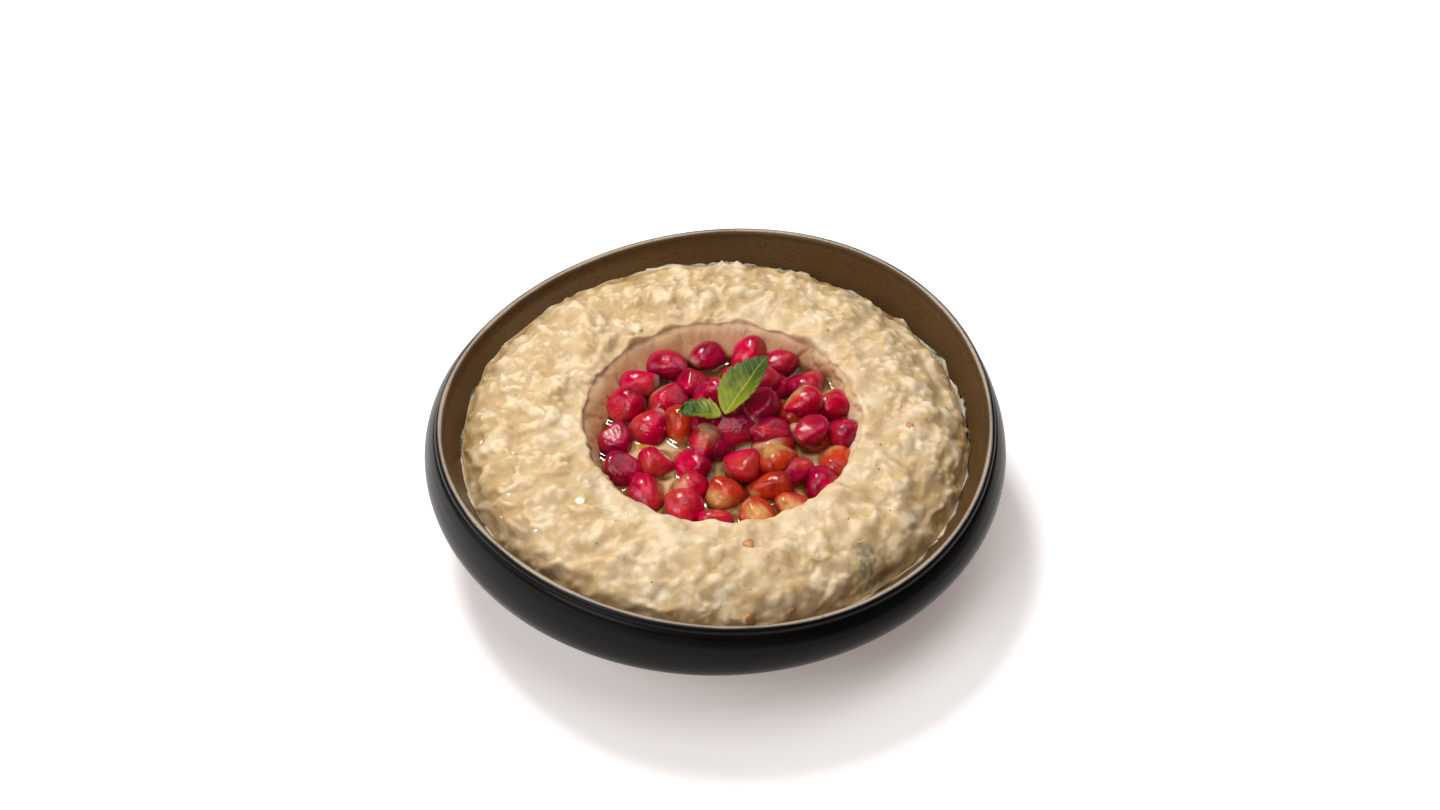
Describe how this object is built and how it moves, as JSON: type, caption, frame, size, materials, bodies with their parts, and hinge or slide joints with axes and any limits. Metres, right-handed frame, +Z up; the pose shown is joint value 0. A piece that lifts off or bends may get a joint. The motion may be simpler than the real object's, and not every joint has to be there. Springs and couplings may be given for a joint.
{
  "type": "baba ganoush in a bowl",
  "caption": "Smoked aubergine dip heaped in a dark stoneware bowl, with a well of olive oil, pomegranate seeds and mint leaves.",
  "frame": {"origin": "centre of the bowl's foot, on the surface it stands on", "axes": "+Z up; -Y towards the viewer, +X to the viewer's right; the rim is high at +X+Y and at -X-Y"},
  "size_m": [0.1512, 0.1512, 0.0503],
  "materials": {
    "stoneware_glaze": "satin charcoal glaze on stoneware, brown inside, with a paler worn lip",
    "aubergine_cream": "wet, lumpy cream of mashed aubergine and sesame paste",
    "olive_oil": "clear golden oil",
    "pomegranate_flesh": "glossy, translucent crimson seeds, some orange or pale",
    "mint": "fresh green leaf with paler veins"
  },
  "bodies": {
    "root": {"bowl": "stoneware_glaze", "baba_ganoush": "aubergine_cream", "olive_oil": "olive_oil", "pomegranate_seeds": "pomegranate_flesh", "mint_leaf_large": "mint", "mint_leaf_small": "mint"}
  },
  "joints": []
}
